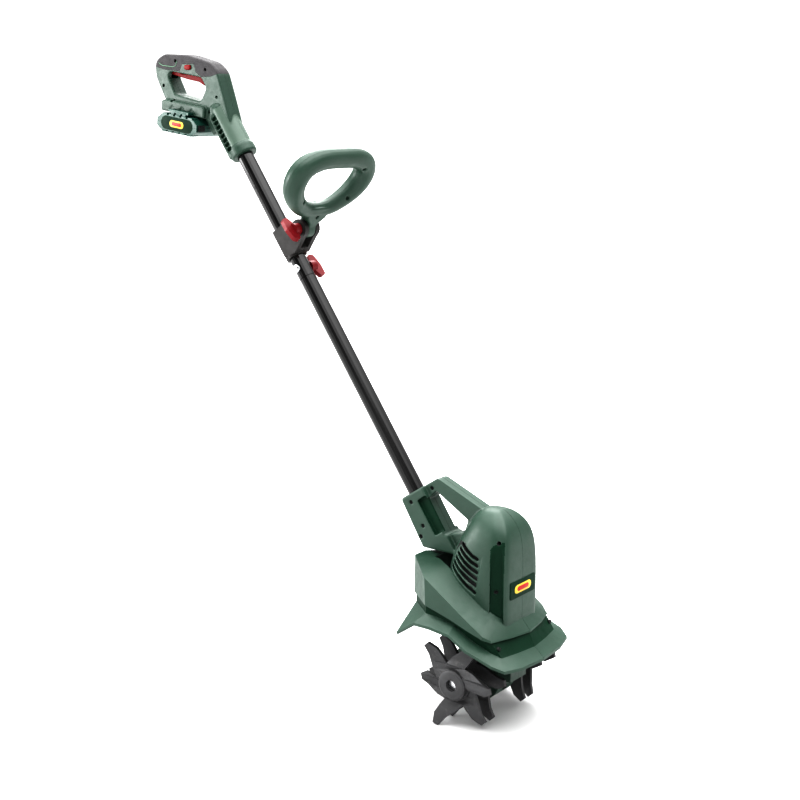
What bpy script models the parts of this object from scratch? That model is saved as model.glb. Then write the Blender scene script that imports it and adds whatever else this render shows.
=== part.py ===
# A cordless garden tiller: battery D-handle, two-piece pole, loop handle, motor head, guard and four tine discs.

import math

import bmesh
import bpy
from mathutils import Matrix, Vector

MM = 0.001
GAP = 0.3  # clearance left between pieces that touch, mm

# Driving dimensions, in millimetres. Forward is -Y, the pole leans back to +Y, and the seam plane is x = 0.
# Outlines are (y, z) points from a datum on the ground line's normal just behind the tine axle.
DATUM_Y, DATUM_Z = -316.54, 70.04  # the datum in the part's frame, whose origin is under the middle of the box
AXLE_Y, AXLE_Z = -10.0, 7.0
POLE_LEAN = 35.0  # degrees back from vertical
POLE_Y, POLE_Z = -47.4, 33.2  # the pole axis's nearest point to the datum
TUBE_R = 15.0
TUBE_WALL = 1.2
JOINT_S = 760.0  # along the pole: where the upper tube ends
TUBE_TOP_S, TUBE_LOW_S = 1105.0, 236.0
HANDLE_TILT = 8.0  # degrees, the grip and the pack drop towards the front
CLAMP_S, CLAMP_N = 834.0, -48.0  # the loop handle's pivot, along the pole and in front of it
LOOP_LEAN = 33.0  # degrees forward from vertical
TINE_R = 82.0
TINE_PLATE = 6.0
OUTER_TINE_X, INNER_TINE_X = 86.0, 52.0
WORM_Y = -47.0  # the motor and worm stand in front of the axle
WHEEL_R = 29.5
CASE_R, CASE_HALF = 50.0, 26.0
SHELL = 2.8  # moulded wall
PACK_LENGTH, PACK_DEPTH, PACK_HEIGHT = 106.0, 76.0, 34.0
CELL_R, CELL_LENGTH = 9.1, 65.0

GREEN = ((0.055, 0.115, 0.082), 0.45, 0.0)
DARK_GREEN = ((0.012, 0.075, 0.05), 0.42, 0.0)
RED = ((0.55, 0.012, 0.015), 0.35, 0.0)
CRIMSON = ((0.42, 0.03, 0.05), 0.4, 0.0)
GREY = ((0.11, 0.11, 0.115), 0.7, 0.0)
BLACK_PAINT = ((0.008, 0.008, 0.008), 0.25, 0.0)
BLACK_PLASTIC = ((0.018, 0.017, 0.017), 0.5, 0.0)
IRON = ((0.05, 0.05, 0.052), 0.5, 0.3)
STEEL = ((0.6, 0.6, 0.6), 0.3, 1.0)
BRASS = ((0.7, 0.5, 0.2), 0.35, 1.0)
LABEL = ((0.75, 0.6, 0.08), 0.4, 0.0)
CELL_WRAP = ((0.05, 0.2, 0.45), 0.4, 0.0)

for old in list(bpy.data.objects):
    bpy.data.objects.remove(old, do_unlink=True)
parts = bpy.data.collections.new("tiller")
cutters = bpy.data.collections.new("cutters")
cutters.hide_render = True
for collection in (parts, cutters):
    bpy.context.scene.collection.children.link(collection)


def frame(name, parent, y, z, lean):
    """An empty turned by lean degrees about X, so that its Z runs back and up."""
    empty = bpy.data.objects.new(name, None)
    empty.parent = parent
    empty.location = (0, y * MM, z * MM)
    empty.rotation_euler = (-math.radians(lean), 0, 0)
    parts.objects.link(empty)
    return empty


datum = frame("datum", None, DATUM_Y, DATUM_Z, 0)
pole = frame("pole_axis", datum, POLE_Y, POLE_Z, POLE_LEAN)
axle = frame("axle_axis", datum, AXLE_Y, AXLE_Z, 0)


def put(name, mesh, parent, finish=None, at=(0, 0, 0)):
    """A node when it has a finish, a hidden helper when it hasn't."""
    obj = bpy.data.objects.new(name, mesh)
    obj.parent = parent
    obj.location = [v * MM for v in at]
    (parts if finish else cutters).objects.link(obj)
    if finish:
        colour, roughness, metallic = finish
        material = bpy.data.materials.new(name + "_finish")
        material.use_nodes = True
        shader = material.node_tree.nodes["Principled BSDF"]
        shader.inputs["Base Color"].default_value = (*colour, 1)
        shader.inputs["Roughness"].default_value = roughness
        shader.inputs["Metallic"].default_value = metallic
        mesh.materials.append(material)
    else:
        obj.hide_render = True
        obj.display_type = "WIRE"
    return obj


def mesh_from(bm, name, smooth=35):
    mesh = bpy.data.meshes.new(name)
    bmesh.ops.recalc_face_normals(bm, faces=bm.faces)
    bm.to_mesh(mesh)
    bm.free()
    mesh.shade_smooth()
    mesh.set_sharp_from_angle(angle=math.radians(smooth))
    return mesh


def evaluated(obj, name):
    """The object's mesh with its modifiers, in its own frame, doubles welded."""
    bpy.context.view_layer.update()
    graph = bpy.context.evaluated_depsgraph_get()
    mesh = bpy.data.meshes.new_from_object(obj.evaluated_get(graph))
    bm = bmesh.new()
    bm.from_mesh(mesh)
    bmesh.ops.remove_doubles(bm, verts=bm.verts, dist=1e-5)
    bpy.data.meshes.remove(mesh)
    return mesh_from(bm, name)


def boolean(obj, other, operation="DIFFERENCE"):
    modifier = obj.modifiers.new(operation.title() + "_" + other.name, "BOOLEAN")
    modifier.object = other
    modifier.operation = operation
    modifier.solver = "EXACT"
    return obj


def block(name, size, at, parent, finish=None):
    bm = bmesh.new()
    bmesh.ops.create_cube(bm, size=1)
    bmesh.ops.scale(bm, vec=Vector(size) * MM, verts=bm.verts)
    return put(name, mesh_from(bm, name), parent, finish, at)


AXES = {
    "X": Matrix.Rotation(math.pi / 2, 4, "Y"),
    "Y": Matrix.Rotation(-math.pi / 2, 4, "X"),
    "Z": Matrix.Identity(4),
}


def rod(name, radius, length, at, axis, parent, finish=None, sides=24, tip=None):
    """A cylinder, or a cone when it has a tip radius, centred on at."""
    bm = bmesh.new()
    far = radius if tip is None else tip
    bmesh.ops.create_cone(
        bm, cap_ends=True, segments=sides, radius1=radius * MM, radius2=far * MM, depth=length * MM
    )
    bmesh.ops.transform(bm, matrix=AXES[axis], verts=bm.verts)
    return put(name, mesh_from(bm, name), parent, finish, at)


def turned(name, profile, at, axis, parent, finish=None, steps=24):
    """A profile of (radius, height) points, from the top down its outer side, turned about its axis."""
    mesh = bpy.data.meshes.new(name)
    bm = bmesh.new()
    verts = [bm.verts.new((r * MM, 0, h * MM)) for r, h in profile]
    for a, b in zip(verts, verts[1:]):
        bm.edges.new((a, b))
    bm.to_mesh(mesh)
    bm.free()
    obj = put(name + "_profile", mesh, None)
    screw = obj.modifiers.new("Screw", "SCREW")
    screw.steps = screw.render_steps = steps
    screw.use_merge_vertices = True
    screw.merge_threshold = 1e-5
    result = evaluated(obj, name)
    bpy.data.objects.remove(obj)
    result.transform(AXES[axis])
    return put(name, result, parent, finish, at)


def rounded(points, radius, steps=4):
    """The closed outline with each corner turned into an arc; a point may carry its own radius as a third value."""
    out = []
    for i, point in enumerate(points):
        here = Vector(point[:2])
        size = point[2] if len(point) > 2 else radius
        before = Vector(points[i - 1][:2]) - here
        after = Vector(points[(i + 1) % len(points)][:2]) - here
        half = before.angle(after) / 2
        if size <= 0 or half > math.radians(88):
            out.append(here)
            continue
        reach = min(size / math.tan(half), before.length * 0.49, after.length * 0.49)
        size = reach * math.tan(half)
        centre = here + (before.normalized() + after.normalized()).normalized() * (size / math.sin(half))
        start = here + before.normalized() * reach - centre
        end = here + after.normalized() * reach - centre
        turn = start.angle_signed(end)
        for step in range(steps + 1):
            out.append(centre + Matrix.Rotation(-turn * step / steps, 2) @ start)
    return out


PLANES = {
    "YZ": Matrix(((0, 0, 1, 0), (1, 0, 0, 0), (0, 1, 0, 0), (0, 0, 0, 1))),
    "XY": Matrix.Identity(4),
    "XZ": Matrix(((1, 0, 0, 0), (0, 0, -1, 0), (0, 1, 0, 0), (0, 0, 0, 1))),
}


def plate(name, outline, half, parent, finish=None, at=(0, 0, 0), plane="YZ", holes=()):
    """A flat outline in a plane, half its thickness to either side."""
    curve = bpy.data.curves.new(name, "CURVE")
    curve.dimensions = "2D"
    curve.fill_mode = "BOTH"
    curve.extrude = half * MM
    for loop in (outline, *holes):
        spline = curve.splines.new("POLY")
        spline.points.add(len(loop) - 1)
        for point, (u, v) in zip(spline.points, loop):
            point.co = (u * MM, v * MM, 0, 1)
        spline.use_cyclic_u = True
    obj = bpy.data.objects.new(name + "_outline", curve)
    cutters.objects.link(obj)
    mesh = evaluated(obj, name)
    bpy.data.objects.remove(obj)
    bpy.data.curves.remove(curve)
    mesh.transform(PLANES[plane])
    return put(name, mesh, parent, finish, at)


def swept(name, points, radii, parent, finish=None, round_sides=3, closed=False):
    """A round bar along points, as a welded mesh."""
    curve = bpy.data.curves.new(name, "CURVE")
    curve.dimensions = "3D"
    curve.bevel_depth = MM
    curve.bevel_resolution = round_sides
    curve.use_fill_caps = not closed
    spline = curve.splines.new("POLY")
    spline.points.add(len(points) - 1)
    for target, point, radius in zip(spline.points, points, radii):
        target.co = (*[v * MM for v in point], 1)
        target.radius = radius
    spline.use_cyclic_u = closed
    obj = bpy.data.objects.new(name + "_line", curve)
    cutters.objects.link(obj)
    mesh = evaluated(obj, name)
    bpy.data.objects.remove(obj)
    bpy.data.curves.remove(curve)
    return put(name, mesh, parent, finish)


def solid(name, source, finish):
    """A node that starts as a copy of a helper's finished shape."""
    obj = put(name, evaluated(source, name), source.parent, finish)
    obj.location = source.location
    obj.rotation_euler = source.rotation_euler
    return obj


halves = {}
for side, sign in (("right", -1), ("left", 1)):
    halves[side] = block("space_" + side, (400, 1600, 1600), (sign * (200 + GAP / 2), 400, 500), datum)


def split(name, source, finish, cavities=(), holes=()):
    """Right and left shells of a source shape, hollowed by the cavities and pierced by the holes."""
    shells = []
    for side in ("right", "left"):
        shell = solid(name + "_" + side, source, finish)
        boolean(shell, halves[side], "INTERSECT")
        for cutter in (*cavities, *holes):
            boolean(shell, cutter)
        shells.append(shell)
    return shells


def slope(y):
    """Height of the seam between the motor housing and the guard, which falls towards the front."""
    return 119 + 0.615 * (y + 83)


def build_housing():
    side_view = rounded(
        [(-84, slope(-84) + 1, 0), (-84, 276, 44), (-40, 306, 30), (-4, 300, 16), (34, 238, 30), (54, slope(54) + 1, 0)],
        6, 7,
    )
    front_view = rounded([(-58, 90, 0), (58, 90, 0), (47, 310, 44), (-47, 310, 44)], 6, 7)
    plan_view = rounded(
        [(-36, -84, 20), (36, -84, 20), (51, -75, 5), (58, -48, 16), (57, 18, 24), (24, 58, 20),
         (-24, 58, 20), (-57, 18, 24), (-58, -48, 16), (-51, -75, 5)], 8, 4,
    )
    dome = plate("dome_side_view", side_view, 80, datum)
    boolean(dome, plate("dome_front_view", front_view, 200, datum, plane="XZ"), "INTERSECT")
    boolean(dome, plate("dome_plan_view", plan_view, 400, datum, plane="XY"), "INTERSECT")
    column = plate(
        "column",
        rounded([(110, 206), (158, 285, 4), (84, 334, 8), (-12, 294, 0), (-30, 230, 0), (20, 206, 0)], 4, 3),
        23, datum,
    )
    opening = rounded([(101, 296), (87, 311), (19, 271), (27, 246), (62, 238)], 4, 3)
    boolean(column, plate("brace_opening", opening, 60, datum))
    for side, sign in (("right", -1), ("left", 1)):
        boolean(column, block("column_pocket_" + side, (20, 60, 66), (sign * 25, -40, 271), pole))
        boolean(column, block("brace_flank_" + side, (20, 160, 200), (sign * 23.5, -110, 300), pole))
    boolean(dome, column, "UNION")
    motor_bay = rod("motor_bay", 33, 160, (0, WORM_Y, 173), "Z", datum)
    bay_cap = rod("bay_cap", 33, 32, (0, WORM_Y, 269), "Z", datum, tip=18)
    rear_bay = block("rear_bay", (84, 60, 66), (0, -14, 222), datum)
    bore = rod("column_bore", TUBE_R + GAP, 130, (0, 0, TUBE_LOW_S + 64), "Z", pole)
    channel = rod("cable_channel", 10, 90, (0, 50, 219), "Y", datum, sides=12)
    holes = []
    for i, (y, z, seat, length) in enumerate(HOUSING_SCREWS):
        holes.append(rod(f"housing_screw_hole_{i}", 3.6, 260, (seat - 130, y, z), "X", datum, sides=12))
        reach = length + 4
        boss_hole = rod(f"housing_boss_hole_{i}", 1.9, reach, (seat - 2 + reach / 2, y, z), "X", datum, sides=12)
        holes.append(boss_hole)
        tube_holes.append(boss_hole)
    for i in range(6):
        y, z = 2 - 6 * i, 245 - 14 * i
        slot = block(f"vent_slot_{i}", (160, 62 - abs(i - 3) * 5, 5.5), (0, y, z), datum)
        slot.rotation_euler = (math.radians(30), 0, 0)
        holes.append(slot)
    split("housing", dome, GREEN, (motor_bay, bay_cap, rear_bay, bore, channel), holes)
    for i, (y, z, seat, length) in enumerate(HOUSING_SCREWS):
        screw(f"housing_screw_{i + 1}", (seat, y, z), length, datum)


# Each is (y, z, x of the head's seat, length); the first two also pass through the lower tube and hold it.
HOUSING_SCREWS = [(134, 284, -17, 36), (108, 246, -17, 36), (96, 314, -7, 16), (112, 226, -17, 30)]
tube_holes = []


def screw(name, at, length, parent, axis="X", direction=-1):
    """A pan-head screw whose head's underside is at its place and faces the shank."""
    profile = [(0.01, 2.4), (2.6, 2), (3.3, 0), (1.6, 0), (1.6, -length + 2), (0.01, -length)]
    obj = turned(name, profile, at, "Z", parent, STEEL, 8)
    obj.data.transform(AXES[axis] if direction > 0 else AXES[axis] @ Matrix.Rotation(math.pi, 4, "Y"))
    return obj


# Each station of the guard's right-hand half runs down from the opening's edge: opening, ridge, wall's foot, skirt,
# flange and lip, as (x, y, z).
GUARD_STATIONS = [
    [(0, -80, None), (0, -102, 98), (0, -103, 95), (0, -112, 72), (0, -130, 56), (0, -130.5, 51)],
    [(26, -79, None), (47, -93, 100), (47, -94, 97), (44, -106, 73), (58, -125, 57), (58, -125.5, 52)],
    [(46, -72, None), (88, -78, 102), (89, -79, 99), (82, -97, 76), (96, -117, 60), (96.3, -117.5, 55)],
    [(52, -60, None), (93, -70, 107), (93, -70, 101), (87, -82, 79), (108, -98, 68), (108.5, -98, 63)],
    [(53, -35, None), (95, -35, 129), (95, -35, 111), (89, -38, 94), (110.5, -45, 84), (111, -45, 79)],
    [(53, -5, None), (95, -5, 148), (95, -5, 120), (90, -8, 112), (111, -12, 103), (111.5, -12, 98)],
    [(51, 16, None), (95, 25, 168), (95, 25, 128), (91, 25, 118), (111, 30, 106), (111.5, 30, 101)],
    [(44, 34, None), (95, 50, 184), (95, 48, 134), (91, 48, 121), (110, 62, 106), (110.5, 62, 101)],
    [(34, 62, 199), (62, 95, 207), (62, 96, 140), (60, 93, 123), (106, 100, 80), (106.5, 101, 75)],
    [(30, 76, 199), (32, 95, 207), (32, 97, 140), (32, 94, 123), (55, 104, 78), (55, 105, 73)],
    [(0, 76, 199), (0, 95, 199), (0, 97, 140), (0, 94, 123), (0, 104, 78), (0, 105, 73)],
]


def build_guard():
    bm = bmesh.new()
    stations = [[(x, y, z) for x, y, z in station] for station in GUARD_STATIONS]
    stations += [[(-x, y, z) for x, y, z in station] for station in GUARD_STATIONS[-2:0:-1]]
    rows = []
    for station in stations:
        heights = [slope(y) + 0.5 if z is None else z for x, y, z in station]
        rows.append([bm.verts.new(Vector((-x, y, h)) * MM) for (x, y, z), h in zip(station, heights)])
    for row, after in zip(rows, rows[1:] + rows[:1]):
        for a, b, c, d in zip(row, row[1:], after[1:], after):
            bm.faces.new((d, c, b, a))
    mesh = bpy.data.meshes.new("guard_surface")
    bm.to_mesh(mesh)
    bm.free()
    surface = put("guard_surface", mesh, datum)
    shell = surface.modifiers.new("Solidify", "SOLIDIFY")
    shell.thickness = SHELL * MM
    shell.offset = -1
    shell.use_even_offset = True
    split("guard", surface, GREEN)


def build_gearcase():
    case = rod("case_drum", CASE_R, CASE_HALF * 2, (0, 0, 0), "X", axle, sides=32)
    boolean(case, block("case_neck", (CASE_HALF * 2 - 4, 70, 106), (0, -35, 51), axle), "UNION")
    cavities = [
        rod("wheel_chamber", WHEEL_R + 2, 17, (0, 0, 0), "X", axle, sides=32),
        rod("worm_bore", 9, 160, (0, WORM_Y - AXLE_Y, 50), "Z", axle, sides=20),
        rod("axle_bore", 10, 120, (0, 0, 0), "X", axle),
    ]
    for sign in (-1, 1):
        cavities.append(rod(f"axle_seat_{sign}", 16.3, 9.4, (sign * 18.5, 0, 0), "X", axle))
    split("gearcase", case, GREEN, cavities)
    for side, sign in (("right", -1), ("left", 1)):
        ring("axle_bearing_" + side, 16, 9.3, 8.6, (sign * 18.5, 0, 0), "X", axle, STEEL)


def ring(name, outer, inner, width, at, axis, parent, finish, steps=24):
    half = width / 2
    profile = [(inner, half), (outer - 0.6, half), (outer, half - 0.6), (outer, -half + 0.6),
               (outer - 0.6, -half), (inner, -half), (inner, half)]
    return turned(name, profile, at, axis, parent, finish, steps)


def toothed(name, radius, depth, teeth, width, bore, at, axis, parent, finish):
    """A gear wheel: an outline of teeth with a bore through it."""
    outline = []
    for i in range(teeth):
        for r, shift in ((radius - depth, -0.32), (radius, -0.14), (radius, 0.14), (radius - depth, 0.32)):
            a = 2 * math.pi * (i + shift) / teeth
            outline.append((r * math.cos(a), r * math.sin(a)))
    inner = [(bore * math.cos(2 * math.pi * i / 20), bore * math.sin(2 * math.pi * i / 20)) for i in range(20)]
    return plate(name, outline, width / 2, parent, finish, at, "YZ" if axis == "X" else "XY", (inner,))


def build_drive():
    can = [(4.6, 40), (14, 40), (14, 37), (28, 37), (31, 34), (31, -36), (28, -39), (12, -39), (12, -43),
           (4.6, -43), (4.6, 40)]
    turned("motor_can", can, (0, WORM_Y, 178), "Z", datum, STEEL, 20)
    top, bottom = 236, -12
    worm = [(0.01, top), (3.6, top), (4, top - 1), (4, 38)]
    for i in range(7):
        worm += [(7.1, 36 - i * 7), (7.1, 34 - i * 7), (5.2, 31.5 - i * 7)]
    worm += [(4, -14), (4, bottom - 6), (0.01, bottom - 6)]
    turned("worm_shaft", worm, (0, WORM_Y, 0), "Z", datum, STEEL, 10)
    outline = []
    for i in range(10):
        for r, shift in ((9, -0.25), (25, -0.18), (25, 0.02), (9, 0.2)):
            a = 2 * math.pi * (i + shift) / 10
            outline.append((r * math.cos(a), r * math.sin(a)))
    bore = [(4.3 * math.cos(2 * math.pi * i / 16), 4.3 * math.sin(2 * math.pi * i / 16)) for i in range(16)]
    plate("cooling_fan", outline, 4, datum, BLACK_PLASTIC, (0, WORM_Y, 227), "XY", (bore,))
    toothed("worm_wheel", WHEEL_R, 2.6, 36, 12, 9.3, (0, 0, 0), "X", axle, BRASS)


BLADE_EDGE = [(37.5, 30), (47, 11), (56, -2), (65, -10), (81, -15), (82, -22.5), (67, -29), (50, -30)]
FIRST_BLADE = 147.0  # degrees of the first blade's root, measured from forward towards up
BLADE_PITCH = 60.0


def tine_disc(name, x, lean_out, phase, hub):
    """Six claws round a hub; each claw sweeps back and leans in or out of the disc by turns."""
    outline = []
    for k in range(6):
        for r, offset in BLADE_EDGE:
            a = math.radians(FIRST_BLADE - BLADE_PITCH * k + offset)
            outline.append((-r * math.cos(a), r * math.sin(a)))
    obj = plate(name + "_blank", outline, TINE_PLATE / 2, axle, None, (x, 0, 0))
    side = 1 if x > 0 else -1
    for vertex in obj.data.vertices:
        y, z = vertex.co.y / MM, vertex.co.z / MM
        r = math.hypot(y, z)
        turn = math.degrees(math.atan2(z, -y)) - FIRST_BLADE
        k = round(-(turn + 12) / BLADE_PITCH) % 6
        sign = 1 if k % 2 == phase else -1
        vertex.co.x += side * sign * lean_out * max(0, (r - 40) / (TINE_R - 40)) * MM
    boss = turned(name + "_boss", hub, (x, 0, 0), "X", axle, None, 20)
    if side < 0:
        boss.data.transform(Matrix.Rotation(math.pi, 4, "Z"))
    boolean(obj, rod(name + "_eye", 14, 30, (x, 0, 0), "X", axle))
    boolean(obj, boss, "UNION")
    disc = solid(name, obj, IRON)
    boolean(disc, rod(name + "_bore", 10, 80, (x, 0, 0), "X", axle))
    return disc


def build_rotor():
    outer_hub = [(8, 14), (23, 14), (27, 12), (27, 3), (30, 3), (30, -3), (17, -3), (15, -17.5), (8, -17.5), (8, 14)]
    inner_hub = [(8, 15.5), (15, 15.5), (17, 3), (28, 3), (28, -3), (17, -3), (15, -14), (8, -14), (8, 15.5)]
    shaft = rod("shaft", 9, 184, (0, 0, 0), "X", axle, sides=20)
    pin_holes = []
    for side, sign in (("right", -1), ("left", 1)):
        outer = tine_disc("tine_outer_" + side, sign * OUTER_TINE_X, 14, 0, outer_hub)
        tine_disc("tine_inner_" + side, sign * INNER_TINE_X, 4, 0, inner_hub)
        hole = rod("pin_hole_" + side, 2.8, 60, (sign * 75, 0, 0), "Z", axle, sides=12)
        boolean(outer, hole)
        pin_holes.append(hole)
        rod("tine_pin_" + side, 2.5, 36, (sign * 75, 0, 0), "Z", axle, STEEL, 12)
    tine_axle = solid("tine_axle", shaft, STEEL)
    for hole in pin_holes:
        boolean(tine_axle, hole)


def build_tubes():
    inner = TUBE_R - TUBE_WALL
    spigot = inner - GAP
    lower = [(spigot - 1.2, 80), (spigot, 80), (spigot, 0), (TUBE_R, -1), (TUBE_R, TUBE_LOW_S - JOINT_S),
             (spigot - 1.2, TUBE_LOW_S - JOINT_S), (spigot - 1.2, 80)]
    upper = [(inner, TUBE_TOP_S - JOINT_S), (TUBE_R, TUBE_TOP_S - JOINT_S), (TUBE_R, 0), (inner, 0),
             (inner, TUBE_TOP_S - JOINT_S)]
    hole = rod("joint_hole", 3.4, 60, (0, 0, JOINT_S + 20), "X", pole, sides=16)
    for name, profile, holes in (("lower_tube", lower, [hole, *tube_holes]), ("upper_tube", upper, [hole])):
        tube = turned(name, profile, (0, 0, JOINT_S), "Z", pole, BLACK_PAINT, 20)
        for cutter in holes:
            boolean(tube, cutter)
    bolt = [(0.01, 31), (2.6, 31), (3, 30), (3, -15.5), (8, -15.5), (7.6, -18.5), (5, -20.5), (0.01, -21.2)]
    turned("joint_bolt", bolt, (0, 0, JOINT_S + 20), "X", pole, STEEL, 20)
    wing_knob("joint_wing_knob", (16, 0, JOINT_S + 20), 1, pole)


def wing_knob(name, at, sign, parent):
    """A hub with two broad wings, bored for its stud; sign is the side of the machine that it stands on."""
    hub = rod(name + "_hub", 11, 14, (at[0] + sign * 7, at[1], at[2]), "X", parent, sides=20)
    wing = rounded([(6, -9), (14, -25), (27, -22), (30, 0), (27, 22), (14, 25), (6, 9)], 6, 3)
    wings = plate(name + "_wings", [(sign * u, v) for u, v in wing][::sign], 4, parent, None, at, "XZ")
    wings.rotation_euler = (math.radians(-8), 0, 0)
    boolean(hub, wings, "UNION")
    knob = solid(name, hub, CRIMSON)
    knob.location = (at[0] * MM, at[1] * MM, at[2] * MM)
    knob.data.transform(Matrix.Translation(Vector((sign * 7, 0, 0)) * MM))
    boolean(knob, rod(name + "_bore", 3.8, 40, (at[0] + sign * 2, at[1], at[2]), "X", parent, sides=16))
    return knob


def build_clamp():
    low, high = CLAMP_S - 32, CLAMP_S + 28
    sleeve = rod("saddle", TUBE_R + 4.5, high - low, (0, 0, (low + high) / 2), "Z", pole, sides=36)
    arm = [(10, low + 8), (10, high), (-16, high)]
    arm += [(CLAMP_N + 17.5 * math.cos(a), CLAMP_S + 17.5 * math.sin(a))
            for a in (math.radians(60 + 15 * i) for i in range(15))]
    arm += [(-16, low + 2)]
    boolean(sleeve, plate("clamp_arm", arm, 19.5, pole), "UNION")
    cavities = [
        rod("clamp_tube_bore", TUBE_R + GAP, 120, (0, 0, CLAMP_S), "Z", pole, sides=36),
        block("ear_slot", (19.2, 46, 80), (0, CLAMP_N, CLAMP_S), pole),
        rod("clamp_bolt_hole", 4.4, 90, (0, CLAMP_N, CLAMP_S), "X", pole, sides=16),
    ]
    split("clamp", sleeve, BLACK_PLASTIC, cavities)
    stud = [(0.01, 33), (3.4, 33), (3.4, -20), (6.8, -20), (6.8, -25), (5.5, -26.5), (0.01, -26.5)]
    bolt = turned("clamp_bolt", stud, (0, CLAMP_N, CLAMP_S), "X", pole, STEEL, 12)
    bolt.data.transform(Matrix.Rotation(math.pi, 4, "Z"))
    wing_knob("clamp_wing_knob", (-20.5, CLAMP_N, CLAMP_S), -1, pole)


# Half of the loop handle's centre line as (x, height, bar radius), from its neck up and round to the top bar.
LOOP_LINE = [(0, 43, 13), (32, 48, 14), (62, 64, 17), (86, 90, 20), (93, 118, 21), (82, 142, 20), (48, 155, 19),
             (0, 157, 18.5)]


def smooth_ring(half, steps):
    """A closed Catmull-Rom line through a half outline and its mirror image."""
    points = [Vector((x, z, radius)) for x, z, radius in half]
    points += [Vector((-x, z, radius)) for x, z, radius in half[-2:0:-1]]
    count = len(points)
    line = []
    for i in range(count):
        a, b, c, d = (points[(i + k) % count] for k in (-1, 0, 1, 2))
        for j in range(steps):
            t = j / steps
            line.append(0.5 * (2 * b + (c - a) * t + (2 * a - 5 * b + 4 * c - d) * t**2
                               + (3 * b - a - 3 * c + d) * t**3))
    return line


LOOP_SCREWS = [(-66, 140), (66, 140), (-62, 74), (62, 74), (0, 33)]


def build_loop():
    pivot = pole_point(CLAMP_N, CLAMP_S)
    loop = frame("loop_axis", datum, pivot[0], pivot[1], -LOOP_LEAN)
    line = smooth_ring(LOOP_LINE, 2)
    places = [(x, 0, z) for x, z, radius in line]
    radii = [radius for x, z, radius in line]
    outer = swept("loop_ring", places, radii, loop, None, 3, True)
    neck = [(-9, -4), (9, -4), (9, 19.5), (26, 40), (26, 50), (-26, 50), (-26, 40), (-9, 19.5)]
    boolean(outer, plate("loop_neck", rounded(neck, 3, 2), 13.5, loop, None, plane="XZ"), "UNION")
    boolean(outer, rod("loop_ear", 17.2, 18.4, (0, 0, 0), "X", loop, sides=32), "UNION")
    hollow = swept("loop_hollow", places, [radius - SHELL for radius in radii], loop, None, 1, True)
    cuts = [hollow, rod("loop_pivot_hole", 4.4, 60, (0, 0, 0), "X", loop, sides=16)]
    for i, (x, z) in enumerate(LOOP_SCREWS):
        cuts.append(rod(f"loop_screw_hole_{i}", 1.9, 60, (x, 0, z), "Y", loop, sides=10))
        cuts.append(rod(f"loop_head_hole_{i}", 3.6, 20, (x, -18, z), "Y", loop, sides=12))
    for name, sign in (("front", -1), ("rear", 1)):
        shell = solid("loop_handle_" + name, outer, GREEN)
        boolean(shell, block("loop_space_" + name, (400, 100, 500), (0, sign * (50 + GAP / 2), 100), loop), "INTERSECT")
        for cut in cuts:
            boolean(shell, cut)
    for i, (x, z) in enumerate(LOOP_SCREWS):
        screw(f"loop_screw_{i + 1}", (x, -8.3, z), 20, loop, "Y", -1)


def pole_point(n, s):
    """The (y, z) place of a point n behind the pole's axis and s along it."""
    lean = math.radians(POLE_LEAN)
    return (POLE_Y + n * math.cos(lean) + s * math.sin(lean), POLE_Z - n * math.sin(lean) + s * math.cos(lean))


GRIP_TOP = [(590, 1021), (609, 1037), (666, 1052), (738, 1055), (758, 1046), (764, 1037)]
HANDLE_SCREWS = [(699, 1041), (620, 1023.5), (598, 975.5), (617, 944)]


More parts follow.
